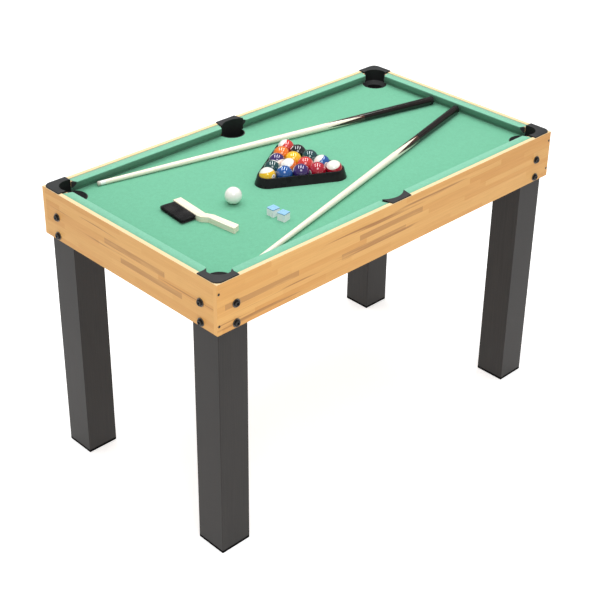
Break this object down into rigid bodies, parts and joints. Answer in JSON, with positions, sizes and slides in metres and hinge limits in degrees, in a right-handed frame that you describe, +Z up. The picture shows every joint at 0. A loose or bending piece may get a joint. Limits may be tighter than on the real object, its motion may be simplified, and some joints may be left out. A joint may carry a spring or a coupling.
{
  "type": "mini pool table",
  "caption": "Small pool table with pockets, on square legs, with racked numbered balls, cue ball, cues, chalk cubes and a table brush lying on the cloth.",
  "frame": {"origin": "on the floor under the centre of the table", "axes": "+X along the table, +Y across it towards the back, +Z up"},
  "size_m": [1.2332, 0.6832, 0.8044],
  "materials": {
    "oak_laminate": "satin butcher-block laminate",
    "fibreboard": "raw fibreboard",
    "softwood": "planed and unfinished",
    "green_cloth": "napped playing cloth",
    "cushion_rubber": "moulded rubber",
    "pocket_plastic": "finely pebbled",
    "leg_laminate": "dark satin laminate",
    "foot_plastic": "moulded",
    "black_steel": "black oxide",
    "zinc_steel": "zinc plated",
    "ball_1": "polished resin, solid colour with a white number disc",
    "ball_2": "polished resin, solid colour with a white number disc",
    "ball_3": "polished resin, solid colour with a white number disc",
    "ball_4": "polished resin, solid colour with a white number disc",
    "ball_5": "polished resin, solid colour with a white number disc",
    "ball_6": "polished resin, solid colour with a white number disc",
    "ball_7": "polished resin, solid colour with a white number disc",
    "ball_8": "polished resin, solid colour with a white number disc",
    "ball_9": "polished resin, white with a wide band of this colour and a white number disc",
    "ball_10": "polished resin, white with a wide band of this colour and a white number disc",
    "ball_11": "polished resin, white with a wide band of this colour and a white number disc",
    "ball_12": "polished resin, white with a wide band of this colour and a white number disc",
    "ball_13": "polished resin, white with a wide band of this colour and a white number disc",
    "ball_14": "polished resin, white with a wide band of this colour and a white number disc",
    "ball_15": "polished resin, white with a wide band of this colour and a white number disc",
    "cue_ball": "polished resin",
    "cue_maple": "clear lacquer",
    "cue_black": "black gloss lacquer",
    "cue_leather": "pressed leather",
    "rack_plastic": "moulded black plastic",
    "chalk": "pressed blue chalk in a white paper wrap",
    "brush_wood": "clear lacquer",
    "brush_hair": "black nylon bristle"
  },
  "bodies": {
    "table": {"apron_back": "oak_laminate", "apron_front": "oak_laminate", "apron_left": "oak_laminate", "apron_right": "oak_laminate", "bed_board": "fibreboard", "bed_cleats": "softwood", "bed_cloth": "green_cloth", "corner_screws": "black_steel", "cross_battens": "softwood", "foot_caps": "foot_plastic", "leg_back_left": "leg_laminate", "leg_back_right": "leg_laminate", "leg_bolts": "black_steel", "leg_front_left": "leg_laminate", "leg_front_right": "leg_laminate", "leg_tee_nuts": "zinc_steel", "leg_washers": "zinc_steel", "pocket_back_left": "pocket_plastic", "pocket_back_right": "pocket_plastic", "pocket_back_side": "pocket_plastic", "pocket_front_left": "pocket_plastic", "pocket_front_right": "pocket_plastic", "pocket_front_side": "pocket_plastic", "rail_back_left": "softwood", "rail_back_right": "softwood", "rail_cloths": "green_cloth", "rail_cushions": "cushion_rubber", "rail_front_left": "softwood", "rail_front_right": "softwood", "rail_left_end": "softwood", "rail_right_end": "softwood"},
    "ball_1": {"ball_1": "ball_1"},
    "ball_2": {"ball_2": "ball_2"},
    "ball_3": {"ball_3": "ball_3"},
    "ball_4": {"ball_4": "ball_4"},
    "ball_5": {"ball_5": "ball_5"},
    "ball_6": {"ball_6": "ball_6"},
    "ball_7": {"ball_7": "ball_7"},
    "ball_8": {"ball_8": "ball_8"},
    "ball_9": {"ball_9": "ball_9"},
    "ball_10": {"ball_10": "ball_10"},
    "ball_11": {"ball_11": "ball_11"},
    "ball_12": {"ball_12": "ball_12"},
    "ball_13": {"ball_13": "ball_13"},
    "ball_14": {"ball_14": "ball_14"},
    "ball_15": {"ball_15": "ball_15"},
    "cue_ball": {"cue_ball": "cue_ball"},
    "ball_rack": {"ball_rack": "rack_plastic"},
    "cue_far": {"cue_far_shaft": "cue_maple", "cue_far_butt": "cue_black", "cue_far_tip": "cue_leather"},
    "cue_near": {"cue_near_shaft": "cue_maple", "cue_near_butt": "cue_black", "cue_near_tip": "cue_leather"},
    "chalk_1": {"chalk_1": "chalk"},
    "chalk_2": {"chalk_2": "chalk"},
    "table_brush": {"brush_back": "brush_wood", "brush_bristles": "brush_hair"}
  },
  "joints": [
    {"name": "ball_1_lift", "type": "slide", "parent": "table", "child": "ball_1", "axis": [0, 0, 1], "range_m": [0, 0.12]},
    {"name": "ball_2_lift", "type": "slide", "parent": "table", "child": "ball_2", "axis": [0, 0, 1], "range_m": [0, 0.12]},
    {"name": "ball_3_lift", "type": "slide", "parent": "table", "child": "ball_3", "axis": [0, 0, 1], "range_m": [0, 0.12]},
    {"name": "ball_4_lift", "type": "slide", "parent": "table", "child": "ball_4", "axis": [0, 0, 1], "range_m": [0, 0.12]},
    {"name": "ball_5_lift", "type": "slide", "parent": "table", "child": "ball_5", "axis": [0, 0, 1], "range_m": [0, 0.12]},
    {"name": "ball_6_lift", "type": "slide", "parent": "table", "child": "ball_6", "axis": [0, 0, 1], "range_m": [0, 0.12]},
    {"name": "ball_7_lift", "type": "slide", "parent": "table", "child": "ball_7", "axis": [0, 0, 1], "range_m": [0, 0.12]},
    {"name": "ball_8_lift", "type": "slide", "parent": "table", "child": "ball_8", "axis": [0, 0, 1], "range_m": [0, 0.12]},
    {"name": "ball_9_lift", "type": "slide", "parent": "table", "child": "ball_9", "axis": [0, 0, 1], "range_m": [0, 0.12]},
    {"name": "ball_10_lift", "type": "slide", "parent": "table", "child": "ball_10", "axis": [0, 0, 1], "range_m": [0, 0.12]},
    {"name": "ball_11_lift", "type": "slide", "parent": "table", "child": "ball_11", "axis": [0, 0, 1], "range_m": [0, 0.12]},
    {"name": "ball_12_lift", "type": "slide", "parent": "table", "child": "ball_12", "axis": [0, 0, 1], "range_m": [0, 0.12]},
    {"name": "ball_13_lift", "type": "slide", "parent": "table", "child": "ball_13", "axis": [0, 0, 1], "range_m": [0, 0.12]},
    {"name": "ball_14_lift", "type": "slide", "parent": "table", "child": "ball_14", "axis": [0, 0, 1], "range_m": [0, 0.12]},
    {"name": "ball_15_lift", "type": "slide", "parent": "table", "child": "ball_15", "axis": [0, 0, 1], "range_m": [0, 0.12]},
    {"name": "cue_ball_lift", "type": "slide", "parent": "table", "child": "cue_ball", "axis": [0, 0, 1], "range_m": [0, 0.12]},
    {"name": "ball_rack_lift", "type": "slide", "parent": "table", "child": "ball_rack", "axis": [0, 0, 1], "range_m": [0, 0.12]},
    {"name": "cue_far_lift", "type": "slide", "parent": "table", "child": "cue_far", "axis": [0, 0, 1], "range_m": [0, 0.12]},
    {"name": "cue_near_lift", "type": "slide", "parent": "table", "child": "cue_near", "axis": [0, 0, 1], "range_m": [0, 0.12]},
    {"name": "chalk_1_lift", "type": "slide", "parent": "table", "child": "chalk_1", "axis": [0, 0, 1], "range_m": [0, 0.12]},
    {"name": "chalk_2_lift", "type": "slide", "parent": "table", "child": "chalk_2", "axis": [0, 0, 1], "range_m": [0, 0.12]},
    {"name": "table_brush_lift", "type": "slide", "parent": "table", "child": "table_brush", "axis": [0, 0, 1], "range_m": [0, 0.12]}
  ]
}
